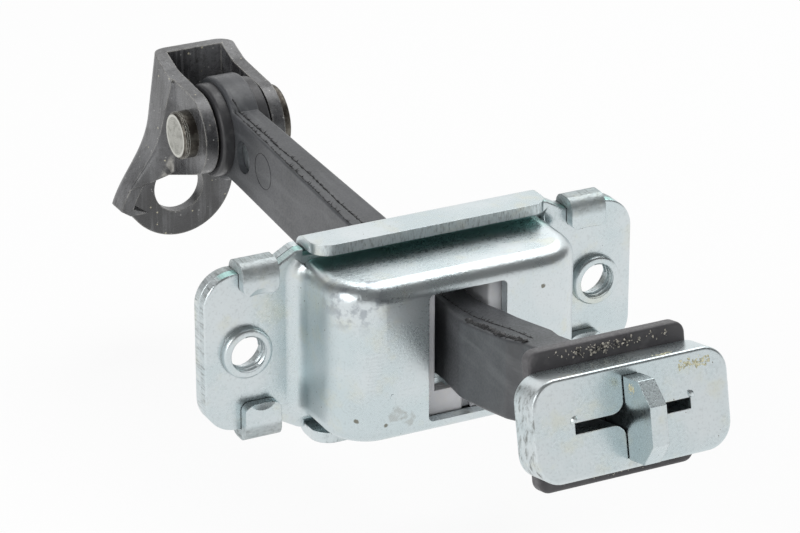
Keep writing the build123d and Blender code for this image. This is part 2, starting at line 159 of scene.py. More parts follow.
# Pivot pin: rim and turning marks of its end faces, and two fine rings near its plain end
PIN_LOW, PIN_HIGH = (Vector(corner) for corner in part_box("pivot_pin"))
PIN_CENTRE = (PIN_LOW + PIN_HIGH) / 2
PIN_RIM = 3.9 * MM
PIN_RIM_FADE = 0.3 * MM
TURNING_SPACING = 0.34 * MM
TURNING_WANDER = 0.12 * MM
PIN_RING_INSETS = (0.75 * MM, 1.15 * MM)
PIN_RING_POINTS = 64
PIN_RING_WIDTH = 0.22 * MM
PIN_RING_HEIGHT = 0.05 * MM

# Bracket: front edge of its flared flank, as (y, z) places, and the bend from there to the ear
FLANK_EDGE = ((88.2 * MM, 14.9 * MM), (91.6 * MM, -1.5 * MM), (92.8 * MM, -8.8 * MM))
EAR_BOTTOM = -4.0 * MM
BEND_SPREAD = 1.15
BEND_REACH = 3.4 * MM
BEND_SINK = 0.8 * MM
BEND_ROWS = 40
BEND_POINTS = 12

# Moulding flash along the top of the arm, and a dark line along its top left edge: width, height, and route
# as (x, y) places in millimetres
FLASH_LINES = {
    "flash_rear": (
        0.36 * MM,
        0.16 * MM,
        [(-1.9, 74.6), (-1.3, 72.4), (-1.2, 66.7), (-1.1, 60.3), (-1.3, 54.4), (-1.1, 49.9),
         (-1.0, 45.8), (-1.1, 39.3), (-1.4, 29.3), (-1.2, 14.0), (-1.3, 4.0)],
    ),
    # A dark ridge along the arm's top left edge, drawn like the flash lines
    "dark_edge_line": (
        0.22 * MM,
        0.08 * MM,
        [(-2.2, 73.0), (-2.5, 60.0), (-2.9, 46.0), (-3.1, 36.0), (-3.4, 24.0), (-3.7, 8.0)],
    ),
    "flash_front": (
        0.30 * MM,
        0.10 * MM,
        [(-1.5, -10.0), (-1.6, -23.7), (-0.6, -34.7), (-0.9, -44.0)],
    ),
    "flash_torn": (
        0.95 * MM,
        0.40 * MM,
        [(-3.4, -24.6), (-3.7, -28.5), (-3.3, -33.5), (-3.9, -37.0), (-3.2, -42.0), (-2.9, -45.5)],
    ),
}
FLASH_STEP = 0.35
FLASH_WANDER = 0.07
FLASH_WIDTHS = (0.5, 0.7, 1.0, 1.0, 1.5)
FLASH_HEIGHTS = (0.3, 0.6, 1.0, 1.4)
FLASH_SHREDS = 0.22
FLASH_SHRED_LENGTH = (0.3, 0.9)
FLASH_SHRED_WIDTH = 0.10 * MM

# Witness ring of an ejector pin on the arm's left face
EJECTOR_Y = 58.5 * MM
EJECTOR_Z = 5.85 * MM
EJECTOR_RADIUS_Y = 3.7 * MM
EJECTOR_RADIUS_Z = 3.5 * MM
EJECTOR_POINTS = 48
EJECTOR_WIDTH = 0.16 * MM
EJECTOR_HEIGHT = 0.05 * MM

# End stop, square to the arm's raised front end
END_TILT = math.radians(11.94)
END_UP = Vector((0, math.sin(END_TILT), math.cos(END_TILT)))
END_OUT = Vector((0, -math.cos(END_TILT), math.sin(END_TILT)))
END_CENTRE = sum((Vector(corner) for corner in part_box("end_plate")), Vector()) / 2

# Debris on the end stop, in millimetres across, up and out from its middle: each kind has its count, its
# places, its sizes and its thickness as a share of its size. A gathered place is its middle and spread.
UPPER_CRUMBS = 150
UPPER_CRUMB_SHARE = 0.6
UPPER_CRUMB_GATHERED = (-1.0, 2.6)
UPPER_CRUMB_ACROSS = (-12, 12)
UPPER_CRUMB_UP = (9.3, 11.3, 10.4)
UPPER_CRUMB_SIZE = (0.07, 0.38, 0.14)
UPPER_CRUMB_FLAT = 0.8
LOWER_CRUMBS = 26
LOWER_CRUMB_GATHERED = (-0.5, 2.5)
LOWER_CRUMB_UP = (-11.1, -10.2)
LOWER_CRUMB_SIZE = (0.06, 0.20)
LOWER_CRUMB_FLAT = 0.7
SHRED_ACROSS = (-5.6, -5.2, -2.4, -2.0, -0.9, 1.7, 3.1)
SHRED_UP = 9.9
SHRED_LEAN = (-0.5, 0.5)
SHRED_LENGTH = (1.0, 1.6)
SHRED_WIDTH = 0.34 * MM
STAINS = 85
STAIN_ACROSS = (9.0, 14.7)
STAIN_UP = (6.4, 0.42)
STAIN_SIZE = (0.10, 0.40)
STAIN_FLAT = 0.35
TOP_STAINS = 40
TOP_STAIN_GATHERED = (7.2, 1.0)
TOP_STAIN_OUT = (1.9, 2.9)
TOP_STAIN_SIZE = (0.08, 0.26)
EDGE_STAINS = 34
EDGE_STAIN_ACROSS = (-15.2, -8)
EDGE_STAIN_OUT = (2.2, 3.0)
EDGE_STAIN_SIZE = (0.05, 0.16)
HEAD_STAINS = 40
HEAD_STAIN_OUT = (6.2, 0.55)
HEAD_STAIN_UP = (5.3, 0.4)
HEAD_STAIN_SIZE = (0.10, 0.30)
THIN_STAIN_FLAT = 0.3
CRUMB_UNEVEN = (0.55, 1.35)
CRUMB_NARROW = 0.6

# Pinched lips at the ends of the end plate's slot, from their first place, in millimetres, inward and up
BURR_FIRST = (11.3, 0.9)
BURR_STEP = (-0.14, 0.17)
BURR_POINTS = 8
BURR_LEAST = 0.4 * MM
BURR_SWELL = 0.8 * MM
LIP_HEIGHT = 0.3

# Beads sink a little into what they lie on, and lines that look for a surface start this far off
BEAD_SINK = 0.04 * MM
CAST_REACH = 30 * MM

# Floor, light and camera
FLOOR_Z = -42 * MM
FLOOR_SIZE = 6.0
FLOOR_COLOUR = (0.86, 0.86, 0.86)
FLOOR_GLOW = 0.86
WHITE = (1, 1, 1)
BACKDROP_WAY = (0.45, 0.89, 0.55)
BACKDROP_FADE = (0.74, 0.94)
HORIZON_FADE = (0.02, 0.20)
ROOM_LIGHT = 0.67
ROOM_DARK = 0.82
SOFTBOXES = {
    "top_softbox": {"place": (0.27, 0.14, 0.574), "width": 0.44, "depth": 0.50, "power": 1.6},
    "left_softbox": {"place": (-0.60, -0.20, 0.30), "width": 0.40, "depth": 0.40, "power": 1.8},
}
CAMERA_TARGET = Vector((-2.564, 2.0, 8.13)) * MM
CAMERA_PLACE = Vector((-274.2, -532.4, 271.3)) * MM
CAMERA_LENS = 165.9
CAMERA_SENSOR = 36
CAMERA_CLIP = 10 * MM


class NodeGraph:
    """A node tree and short calls that add nodes to it."""

    single_results = ("DOT_PRODUCT", "DISTANCE", "LENGTH")

    def __init__(self, tree):
        self.tree = tree

    def add(self, kind):
        return self.tree.nodes.new("ShaderNode" + kind)

    def put(self, socket, value):
        """Link a socket to another one, or set its constant."""
        if isinstance(value, bpy.types.NodeSocket):
            self.tree.links.new(value, socket)
        elif socket.type == "RGBA":
            socket.default_value = (*value, 1.0)
        else:
            socket.default_value = value

    def math(self, operation, a, b=0.0):
        node = self.add("Math")
        node.operation = operation
        self.put(node.inputs[0], a)
        self.put(node.inputs[1], b)
        return node.outputs[0]

    def times(self, product, *others):
        for other in others:
            product = self.math("MULTIPLY", product, other)
        return product

    def plus(self, total, *others):
        for other in others:
            total = self.math("ADD", total, other)
        return total

    def vector(self, operation, a, b=None):
        node = self.add("VectorMath")
        node.operation = operation
        self.put(node.inputs[0], a)
        if b is not None:
            self.put(node.inputs[1], b)
        return node.outputs["Value" if operation in self.single_results else "Vector"]

    def axis(self, vector, index):
        node = self.add("SeparateXYZ")
        self.put(node.inputs[0], vector)
        return node.outputs[index]

    def step(self, value, low, high, out_low=0.0, out_high=1.0):
        """Smooth step of a value from out_low to out_high."""
        node = self.add("MapRange")
        node.interpolation_type = "SMOOTHSTEP"
        self.put(node.inputs["Value"], value)
        node.inputs["From Min"].default_value = low
        node.inputs["From Max"].default_value = high
        node.inputs["To Min"].default_value = out_low
        node.inputs["To Max"].default_value = out_high
        return node.outputs[0]

    def mirrored(self, path):
        """1 where a reflection or a refraction looks, 0 elsewhere."""
        return self.math("MAXIMUM", path.outputs["Is Glossy Ray"], path.outputs["Is Transmission Ray"])


class Finish(NodeGraph):
    """The nodes of one material, with the object's own coordinates and normals."""

    def __init__(self, name):
        self.material = bpy.data.materials.new(name)
        self.material.use_nodes = True
        super().__init__(self.material.node_tree)
        self.shader = self.tree.nodes["Principled BSDF"]
        coords = self.add("TexCoord")
        self.place = coords.outputs["Object"]
        self.facing = coords.outputs["Normal"]

    def at(self, index):
        """Place along one axis."""
        return self.axis(self.place, index)

    def off_middle(self, index):
        """Distance from the middle along one axis."""
        return self.math("ABSOLUTE", self.at(index))

    def along(self, direction):
        """How far the surface faces along a direction, from -1 to 1."""
        return self.vector("DOT_PRODUCT", self.facing, direction)

    def either_way(self, direction):
        """How far the surface faces along a direction or against it, from 0 to 1."""
        return self.math("ABSOLUTE", self.along(direction))

    def distance(self, centre):
        return self.vector("DISTANCE", self.place, centre)

    def stretch(self, scale, shift=(0, 0, 0)):
        """Object coordinates multiplied per axis, then shifted."""
        node = self.add("Mapping")
        self.put(node.inputs["Vector"], self.place)
        node.inputs["Location"].default_value = shift
        node.inputs["Scale"].default_value = scale
        return node.outputs[0]

    def noise(self, scale, detail=2.0, roughness=0.5, vector=None):
        """Noise with about `scale` waves in each metre."""
        node = self.add("TexNoise")
        self.put(node.inputs["Vector"], vector or self.place)
        node.inputs["Scale"].default_value = scale
        node.inputs["Detail"].default_value = detail
        node.inputs["Roughness"].default_value = roughness
        return node.outputs[0]

    def waves(self, length, spacing):
        """Waves from -1 to 1, one for each spacing of a length."""
        return self.math("SINE", self.times(length, math.tau / spacing))

    def dots(self, spacing, radius, share):
        """Small round dots: this share of cells of the given spacing holds one."""
        node = self.add("TexVoronoi")
        self.put(node.inputs["Vector"], self.place)
        node.inputs["Scale"].default_value = 1 / spacing
        near = self.step(node.outputs["Distance"], 0.6 * radius / spacing, radius / spacing, 1.0, 0.0)
        chosen = self.step(self.axis(node.outputs["Color"], 0), share, share + 0.02, 1.0, 0.0)
        return self.times(near, chosen)

    def spot(self, centre, radius, ragged):
        """1 inside a ragged patch about a point, 0 outside."""
        wobble = self.times(self.math("SUBTRACT", ragged, 0.5), 2 * radius)
        return self.step(self.plus(self.distance(centre), wobble), 0.6 * radius, radius, 1.0, 0.0)

    def mix(self, factor, a, b):
        node = self.add("Mix")
        node.data_type = "RGBA"
        self.put(node.inputs[0], factor)
        self.put(node.inputs[6], a)
        self.put(node.inputs[7], b)
        return node.outputs[2]

    def soft_normal(self, radius):
        """Normal of a surface whose edges are rounded by a radius."""
        node = self.add("Bevel")
        node.samples = 4
        node.inputs["Radius"].default_value = radius
        return node.outputs[0]

    def edge(self, width):
        """1 along sharp edges, 0 on flats."""
        geometry = self.add("NewGeometry")
        even = self.vector("DOT_PRODUCT", self.soft_normal(width), geometry.outputs["Normal"])
        return self.step(self.math("SUBTRACT", 1.0, even), 0.03, 0.25)

    def seam(self, reach):
        """1 deep in seams and corners narrower than about the reach, 0 on open faces: an ambient occlusion
        mask for painted shade.
        """
        node = self.add("AmbientOcclusion")
        node.samples = 8
        node.inputs["Distance"].default_value = reach
        return self.step(node.outputs["AO"], 0.30, 0.72, 1.0, 0.0)

    def leaning(self, normal, way, share):
        """Normal that leans by a share of a given vector."""
        lean = self.add("VectorMath")
        lean.operation = "SCALE"
        lean.inputs[0].default_value = way
        self.put(lean.inputs["Scale"], share)
        return self.vector("NORMALIZE", self.vector("ADD", normal, lean.outputs[0]))

    def bump(self, height, depth, normal):
        node = self.add("Bump")
        node.inputs["Distance"].default_value = depth
        self.put(node.inputs["Height"], height)
        self.put(node.inputs["Normal"], normal)
        return node.outputs[0]

    def finish(self, colour, rough, normal, metallic=0.0, specular=0.5):
        self.put(self.shader.inputs["Base Color"], colour)
        self.put(self.shader.inputs["Roughness"], rough)
        self.put(self.shader.inputs["Normal"], normal)
        self.put(self.shader.inputs["Metallic"], metallic)
        self.put(self.shader.inputs["Specular IOR Level"], specular)
        return self.material


def zinc_material(name, dress=None, draft=0.0):
    """Bright zinc plating: cool grey with faint warm tints, fine grain and tiny dark specks. `dress` adds
    the marks of one piece to its colour, roughness and height. With a draft, upper faces fall a little
    forward."""
    g = Finish(name)
    broad = g.noise(70, 3, 0.6)
    tint = g.noise(190, 4, 0.6)
    grain = g.noise(2300, 2, 0.5)
    colour = g.mix(g.step(broad, 0.35, 0.68), ZINC_COOL, ZINC_PALE)
    colour = g.mix(g.step(tint, 0.52, 0.75, 0.0, 0.6), colour, ZINC_WARM)
    colour = g.mix(g.step(grain, 0.52, 0.75, 0.0, 0.14), colour, ZINC_DARK)
    colour = g.mix(g.dots(*ZINC_SPECKS), colour, SPECK)
    rough = g.plus(g.step(broad, 0.3, 0.75, 0.24, 0.30), g.step(grain, 0.3, 0.7, 0.0, 0.06))
    height = grain
    if dress:
        colour, rough, height = dress(g, colour, rough, height)
    # Painted shade, with some dirt: zinc darkened by ambient occlusion in narrow seams and corners
    colour = g.mix(g.times(g.seam(SEAM_SHADE_REACH), 0.85), colour, SEAM_SHADE_AND_DIRT)
    normal = g.soft_normal(ZINC_ROUND)
    if draft:
        normal = g.leaning(normal, -BACK * math.tan(draft), g.step(g.along(UP), 0.8, 0.97))
    return g.finish(colour, rough, g.bump(height, GRAIN_DEPTH, normal), metallic=1.0)


def sheared(g, colour, rough, height, mask, streak, depth=0.55):
    """Torn streaks where the mask says the sheet was cut, as dark as the depth says."""
    dark = g.times(mask, g.step(streak, 0.48, 0.68, 0.0, depth))
    pale = g.times(mask, g.step(streak, 0.30, 0.45, 0.5, 0.0))
    colour = g.mix(dark, colour, ZINC_DARK)
    colour = g.mix(pale, colour, ZINC_TORN)
    rough = g.plus(rough, g.times(mask, 0.14))
    height = g.plus(height, g.times(mask, streak, 5.0))
    return colour, rough, height


def sheet_edges(g, colour, rough, height):
    """Streaks through the thickness on the cut rims of the two flat sheets."""
    turned = g.step(g.either_way(BACK), 0.2, 0.5, 1.0, 0.0)
    rim = g.times(turned, g.step(g.at(Y), *RIM_START), g.step(g.off_middle(Z), *RIM_END, 1.0, 0.0))
    streak = g.noise(2600, 3, 0.65, g.stretch((1, 0.12, 1)))
    return sheared(g, colour, rough, height, rim, streak)


def dress_base(g, colour, rough, height):
    """Cut rims, torn front edges of the flanges and rough folds of the crimp tabs."""
    colour, rough, height = sheet_edges(g, colour, rough, height)
    front = g.times(g.step(g.at(Y), *FLANGE_FRONT), g.step(g.along(-BACK), 0.3, 0.6))
    streak = g.noise(2400, 3, 0.7, g.stretch((1, 1, 0.25)))
    colour, rough, height = sheared(g, colour, rough, height, front, streak)
    fold = g.times(g.step(g.off_middle(X), *TAB_SIDE), g.step(g.off_middle(Z), *TAB_FOLD))
    rough = g.plus(rough, g.times(fold, 0.16))
    colour = g.mix(g.times(fold, 0.28), colour, ZINC_DARK)
    cracks = g.noise(1500, 4, 0.75, g.stretch((0.55, 1, 1)))
    return sheared(g, colour, rough, height, g.times(fold, 0.7), cracks)


def forming_waves(g, ragged):
    """Rings about the cover's lower left corner and ripples above them."""
    away = g.plus(g.distance(RING_CENTRE), g.times(ragged, 2.4 * RING_SPACING))
    fading = g.step(away, 0.55 * RING_REACH, RING_REACH, 0.26, 0.0)
    rings = g.times(g.waves(away, RING_SPACING), fading)
    level = g.plus(g.at(Z), g.times(ragged, 2.6 * RIPPLE_SPACING))
    strip = g.times(g.step(g.at(X), *RIPPLE_LEFT), g.step(g.at(X), *RIPPLE_RIGHT, 1.0, 0.0))
    band = g.times(g.step(level, *RIPPLE_BOTTOM), g.step(level, *RIPPLE_TOP, 0.3, 0.0))
    return g.plus(rings, g.times(g.waves(level, RIPPLE_SPACING), strip, band))


def dress_cover(g, colour, rough, height):
    """Cut rims, dull side walls, a crumpled upper left corner with a painted dark reflection, grainy upper
    edges, a painted greenish shade tint under the flange, forming marks on the left, smudges and scars."""
    colour, rough, height = sheet_edges(g, colour, rough, height)
    rough = g.plus(rough, g.step(g.either_way(RIGHT), 0.6, 0.95, 0.0, 0.14))
    up = g.along(UP)
    corner = g.step(g.distance(CORNER_CENTRE), *CORNER_FADE, 1.0, 0.0)
    height = g.plus(height, g.times(corner, g.noise(1000, 3, 0.6), 5.0))
    # Painted reflection: dark bluish mottle on the crumpled corner, standing in for the dark room that it
    # reflects
    painted_reflection = g.times(corner, g.step(g.noise(420, 3, 0.6), 0.46, 0.62, 0.0, 0.55))
    colour = g.mix(painted_reflection, colour, CORNER_DARK_REFLECTION)
    upper_edge = g.times(g.step(up, 0.2, 0.45), g.step(g.along(-BACK), 0.2, 0.45))
    height = g.plus(height, g.times(upper_edge, g.noise(1700, 2, 0.6), 2.6))
    # Painted shade: greenish tint on the top of the cover where the flange shades it
    under_flange_shade = g.times(g.step(g.at(Y), *FLANGE_SHADE_FRONT, 0.0, 0.75), g.step(up, 0.8, 0.97), g.step(g.at(Z), *FLANGE_SHADE_LEVEL))
    colour = g.mix(under_flange_shade, colour, FLANGE_SHADE_TINT)
    ragged = g.noise(700, 3, 0.6)
    waves = forming_waves(g, ragged)
    height = g.plus(height, g.times(waves, 1.5))
    colour = g.mix(g.step(waves, 0.02, 0.30, 0.0, 0.09), colour, ZINC_DARK)
    for centre in SMUDGE_CENTRES:
        smudge = g.times(g.spot(centre, SMUDGE_RADIUS, ragged), g.step(ragged, 0.42, 0.60, 0.42, 0.05))
        colour = g.mix(smudge, colour, SMUDGE_SHADE)
    for centre in SCAR_CENTRES:
        colour = g.mix(g.spot(centre, SCAR_RADIUS, ragged), colour, SCAR_SHADE)
    return colour, rough, height


def dress_end_plate(g, colour, rough, height):
    """Torn streaks on the two short sides and a pale burr along the edges."""
    side = g.step(g.either_way(RIGHT), 0.55, 0.85)
    streak = g.noise(1000, 4, 0.75, g.stretch((1, 0.9, 0.35)))
    colour, rough, height = sheared(g, colour, rough, height, side, streak, 0.9)
    burr = g.times(g.edge(BURR_WIDTH), g.step(g.noise(1300, 3, 0.65), 0.45, 0.60, 0.0, 0.8))
    colour = g.mix(burr, colour, ZINC_BURR)
    rough = g.plus(rough, g.times(burr, 0.3))
    return colour, rough, height


def coat_material(name):
    """Black coating on steel: faint drawing streaks, edges rubbed pale, dark stains, grey and yellowish
    specks."""
    g = Finish(name)
    broad = g.noise(130, 4, 0.6)
    fine = g.noise(2200, 3, 0.6)
    streak = g.noise(1100, 3, 0.6, g.stretch((1, 1, 0.06)))
    colour = g.mix(g.step(broad, 0.38, 0.66), COAT_DARK, COAT_PALE)
    colour = g.mix(g.step(streak, 0.48, 0.68, 0.0, 0.55), colour, COAT_STREAK)
    worn = g.times(g.edge(COAT_WEAR), g.step(g.noise(700, 3), 0.30, 0.50))
    colour = g.mix(worn, colour, COAT_WORN)
    patches = g.step(g.noise(260, 4, 0.7), 0.48, 0.62, 0.0, 0.8)
    colour = g.mix(g.times(patches, g.step(streak, 0.3, 0.6, 1.0, 0.5)), colour, COAT_STAIN)
    colour = g.mix(g.dots(*COAT_CRUSTS), colour, COAT_CRUST)
    colour = g.mix(g.dots(*COAT_DUSTS), colour, COAT_DUST)
    rough = g.step(fine, 0.3, 0.7, 0.24, 0.38)
    return g.finish(colour, rough, g.bump(fine, GRAIN_DEPTH, g.soft_normal(COAT_ROUND)), specular=0.9)


def plastic_material(name, dark, light, scuff, roughness):
    """Moulded plastic with a fine texture, flow streaks along the arm and faint scuffs."""
    g = Finish(name)
    broad = g.noise(120, 3, 0.55)
    fine = g.noise(2600, 2, 0.5)
    flow = g.noise(420, 3, 0.6, g.stretch((1, 0.10, 1)))
    colour = g.mix(g.step(broad, 0.3, 0.7), dark, light)
    colour = g.mix(g.step(flow, 0.48, 0.72, 0.0, 0.45), colour, scuff)
    scuffs = g.step(g.noise(900, 4, 0.7, g.stretch((1.0, 0.4, 1.0))), 0.66, 0.76, 0.0, 0.5)
    colour = g.mix(scuffs, colour, scuff)
    colour = g.mix(g.dots(*PLASTIC_DUSTS), colour, PLASTIC_DUST)
    rough = g.step(fine, 0.3, 0.7, roughness - 0.06, roughness + 0.1)
    return g.finish(colour, rough, g.bump(fine, SMOOTH_DEPTH, g.soft_normal(PLASTIC_ROUND)))


def pin_material(name):
    """Turned steel pin: grey end faces with turning rings and a pale rim, dark oily sides."""
    g = Finish(name)
    radius = g.vector("LENGTH", g.stretch((0, 1, 1), (0, -PIN_CENTRE.y, -PIN_CENTRE.z)))
    fine = g.noise(1500, 3, 0.6)
    rings = g.waves(g.plus(radius, g.times(fine, TURNING_WANDER)), TURNING_SPACING)
    turned = g.mix(g.step(rings, -1.0, 1.0), FACE_DARK, FACE_PALE)
    turned = g.mix(g.step(g.noise(900, 4, 0.7), 0.46, 0.66, 0.0, 0.75), turned, FACE_STAIN)
    turned = g.mix(g.step(radius, PIN_RIM - PIN_RIM_FADE, PIN_RIM, 0.0, 0.75), turned, FACE_RIM)
    oily = g.mix(g.step(g.noise(600, 3, 0.6), 0.35, 0.65), OIL_DARK, OIL_PALE)
    colour = g.mix(g.step(g.either_way(RIGHT), 0.80, 0.95), oily, turned)
    colour = g.mix(g.edge(PIN_WEAR), colour, PIN_EDGE)
    height = g.plus(g.times(rings, 0.35), fine)
    rough = g.step(fine, 0.3, 0.7, 0.32, 0.46)
    return g.finish(colour, rough, g.bump(height, SMOOTH_DEPTH, g.soft_normal(PIN_ROUND)), metallic=0.85)


def wire_material(name, dark, light):
    """Oil-tempered wire."""
    g = Finish(name)
    fine = g.noise(1800, 3, 0.6)
    colour = g.mix(g.step(g.noise(300, 3, 0.6), 0.3, 0.7), dark, light)
    rough = g.step(fine, 0.3, 0.7, 0.32, 0.46)
    return g.finish(colour, rough, g.bump(fine, SMOOTH_DEPTH, g.soft_normal(WIRE_ROUND)), metallic=0.9)


def crumb_material(name, light, dark):
    """Dry dirt and torn crumbs."""
    g = Finish(name)
    grain = g.noise(1600, 3, 0.7)
    colour = g.mix(g.step(grain, 0.4, 0.65), light, dark)
    rough = g.step(grain, 0.3, 0.7, 0.5, 0.8)
    return g.finish(colour, rough, g.bump(grain, CRUMB_DEPTH, g.soft_normal(CRUMB_ROUND)))


def surface(node, start, way):
    """Point and outward normal where a line from a start point meets a CAD node."""
    hit, place, normal, _ = nodes[node].ray_cast(start, way)
    if not hit:
        raise ValueError(f"no surface of {node} at {tuple(start)}")
    return place, normal


def round_angles(count):
    """Angles of even steps round a circle."""
    return [math.tau * i / count for i in range(count)]


def swelling(least, swell, count):
    """Widths that swell from both ends to the middle."""
    return [least + swell * math.sin(math.pi * i / (count - 1)) for i in range(count)]


def loft(shape, rings, looped=False):
    """Skin through rings of points, closed at both ends or joined into a loop."""
    rows = [[shape.verts.new(point) for point in ring] for ring in rings]
    pairs = list(zip(rows, rows[1:]))
    if looped:
        pairs.append((rows[-1], rows[0]))
    else:
        shape.faces.new(rows[0])
        shape.faces.new(rows[-1])
    for near, far in pairs:
        for i, vertex in enumerate(near):
            shape.faces.new((near[i - 1], vertex, far[i], far[i - 1]))


def bead(shape, places, widths, heights, looped=False):
    """Low bead along surface places, each a point and a normal, with a width and a height at each."""
    rings = []
    last = len(places) - 1
    for i, (point, normal) in enumerate(places):
        after = places[(i + 1) % len(places) if looped else min(i + 1, last)][0]
        before = places[i - 1 if looped else max(i - 1, 0)][0]
        side = normal.cross(after - before).normalized() * widths[i] / 2
        foot = point - normal * BEAD_SINK
        top = point + normal * heights[i]
        rings.append([foot - side, top - side * 0.5, top + side * 0.5, foot + side])
    loft(shape, rings, looped)


def lip(shape, places, widths):
    """Bead whose height follows its width."""
    bead(shape, places, widths, [LIP_HEIGHT * width for width in widths])


def hoop(shape, places, width, height):
    """Even bead joined into a loop."""
    bead(shape, places, [width] * len(places), [height] * len(places), looped=True)


def crumb(shape, place, size, flat, draw):
    """Irregular crumb of a size in millimetres, lying on a surface place."""
    point, normal = place
    ball = bmesh.ops.create_icosphere(shape, subdivisions=1, radius=size * MM)
    turn = normal.to_track_quat("Z", "Y").to_matrix()
    spin = draw.uniform(0, math.tau)
    for vertex in ball["verts"]:
        x, y, z = vertex.co * draw.uniform(*CRUMB_UNEVEN)
        round_x = x * math.cos(spin) - CRUMB_NARROW * y * math.sin(spin)
        round_y = x * math.sin(spin) + CRUMB_NARROW * y * math.cos(spin)
        vertex.co = point + turn @ Vector((round_x, round_y, z * flat))


def shred(shape, place, way, length, width):
    """Thin torn blade that stands off a surface place and tapers to its tip."""
    point, normal = place
    side = normal.cross(way).normalized() * width / 2
    foot = point - normal * width
    crest = point + normal * width
    tip = crest + way * length
    blade = [
        [foot - side, foot + side, crest + side * 0.6],
        [tip - side * 0.1, tip + side * 0.1, tip + normal * width * 0.2],
    ]
    loft(shape, blade)


def add_piece(name, shape, body, material):
    """Finish a mesh as a piece of the object that rides on a body."""
    bmesh.ops.recalc_face_normals(shape, faces=shape.faces)
    mesh = bpy.data.meshes.new(name)
    shape.to_mesh(mesh)
    shape.free()
    mesh.materials.append(material)
    piece = bpy.data.objects.new(name, mesh)
    bpy.context.scene.collection.objects.link(piece)
    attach(piece, body)


def make_thread(name, x):
    """Thread ridge wound inside one tapped bore."""
    shape = bmesh.new()
    rings = []
    half = BACK * THREAD_ROOT * THREAD_PITCH
    root = BORE_RADIUS + BEAD_SINK
    crest = BORE_RADIUS - THREAD_DEPTH
    for i in range(int(THREAD_TURNS * THREAD_STEPS) + 1):
        angle = math.tau * i / THREAD_STEPS
        out = Vector((math.cos(angle), 0, math.sin(angle)))
        centre = Vector((x, THREAD_START - THREAD_PITCH * i / THREAD_STEPS, 0))
        top = centre + out * crest
        foot = centre + out * root
        rings.append([foot - half, top - half * THREAD_CREST, top + half * THREAD_CREST, foot + half])
    loft(shape, rings)
    add_piece(name, shape, "housing", zinc)


def make_dent():
    """Crescent dent lip on the cover's front face."""
    shape = bmesh.new()
    places = []
    for i in range(DENT_POINTS):
        angle = math.radians(DENT_START + DENT_STEP * i)
        rim = DENT_CENTRE + Vector((math.cos(angle), 0, math.sin(angle))) * DENT_RADIUS
        places.append(surface("housing_cover", rim - BACK * CAST_REACH, BACK))
    lip(shape, places, swelling(DENT_WIDTH, DENT_SWELL, DENT_POINTS))
    add_piece("cover_dent", shape, "housing", zinc)


def arm_top(x, y):
    """Place on the upper side of the arm's moulding, from millimetres."""
    return surface("arm_sleeve", Vector((x * MM, y * MM, CAST_REACH)), -UP)


def make_flash(name, route, draw, width, height):
    """Ragged dark line along the top of the arm, such as moulding flash, with torn shreds on it."""
    shape = bmesh.new()
    places = []
    for (x0, y0), (x1, y1) in zip(route, route[1:]):
        count = max(2, int(abs(y1 - y0) / FLASH_STEP))
        for i in range(count):
            share = i / count
            wander = draw.uniform(-FLASH_WANDER, FLASH_WANDER)
            places.append(arm_top(x0 + (x1 - x0) * share + wander, y0 + (y1 - y0) * share))
    widths = [width * draw.choice(FLASH_WIDTHS) * draw.uniform(0.8, 1.2) for _ in places]
    heights = [height * draw.choice(FLASH_HEIGHTS) * draw.uniform(0.7, 1.2) for _ in places]
    bead(shape, places, widths, heights)
    for place in places:
        if draw.random() < FLASH_SHREDS:
            way = Vector((draw.uniform(0, 1), draw.uniform(-1, 1), draw.uniform(0, 0.5))).normalized()
            shred(shape, place, way, draw.uniform(*FLASH_SHRED_LENGTH) * MM, FLASH_SHRED_WIDTH)
    add_piece(name, shape, "arm", flash_plastic)


def make_ejector_ring():
    """Thin witness ring of an ejector pin on the arm's left face."""
    shape = bmesh.new()
    places = []
    for angle in round_angles(EJECTOR_POINTS):
        y = EJECTOR_Y + EJECTOR_RADIUS_Y * math.cos(angle)
        z = EJECTOR_Z + EJECTOR_RADIUS_Z * math.sin(angle)
        places.append(surface("arm_sleeve", Vector((-CAST_REACH, y, z)), RIGHT))
    hoop(shape, places, EJECTOR_WIDTH, EJECTOR_HEIGHT)
    add_piece("ejector_ring", shape, "arm", flash_plastic)


def end_point(across=0.0, up=0.0, out=0.0):
    """Point from the middle of the end plate, in millimetres."""
    return END_CENTRE + (RIGHT * across + END_UP * up + END_OUT * out) * MM


def end_face(node, across, up):
    """Place on the front of a piece of the end stop."""
    return surface(node, end_point(across, up) + END_OUT * CAST_REACH, -END_OUT)


def end_top(across, out):
    """Place on the upper side of the end plate."""
    return surface("end_plate", end_point(across, out=out) + END_UP * CAST_REACH, -END_UP)


def head_side(out, up):
    """Place on the left side of the hammer-head."""
    return surface("arm_core", end_point(up=up, out=out) - RIGHT * CAST_REACH, RIGHT)


def make_bumper_crumbs(draw):
    """Pale crumbs above and below the end plate."""
    shape = bmesh.new()
    for _ in range(UPPER_CRUMBS):
        gathered = draw.random() < UPPER_CRUMB_SHARE
        across = draw.gauss(*UPPER_CRUMB_GATHERED) if gathered else draw.uniform(*UPPER_CRUMB_ACROSS)
        place = end_face("bumper", across, draw.triangular(*UPPER_CRUMB_UP))
        crumb(shape, place, draw.triangular(*UPPER_CRUMB_SIZE), UPPER_CRUMB_FLAT, draw)
    for _ in range(LOWER_CRUMBS):
        place = end_face("bumper", draw.gauss(*LOWER_CRUMB_GATHERED), draw.uniform(*LOWER_CRUMB_UP))
        crumb(shape, place, draw.uniform(*LOWER_CRUMB_SIZE), LOWER_CRUMB_FLAT, draw)
    add_piece("bumper_crumbs", shape, "arm", pale_crumbs)


def make_bumper_shreds(draw):
    """Torn rubber blades on the bumper's upper part."""
    shape = bmesh.new()
    for across in SHRED_ACROSS:
        place = end_face("bumper", across, SHRED_UP)
        way = (END_UP + RIGHT * draw.uniform(*SHRED_LEAN)).normalized()
        shred(shape, place, way, draw.uniform(*SHRED_LENGTH) * MM, SHRED_WIDTH)
    add_piece("bumper_shreds", shape, "arm", rubber)


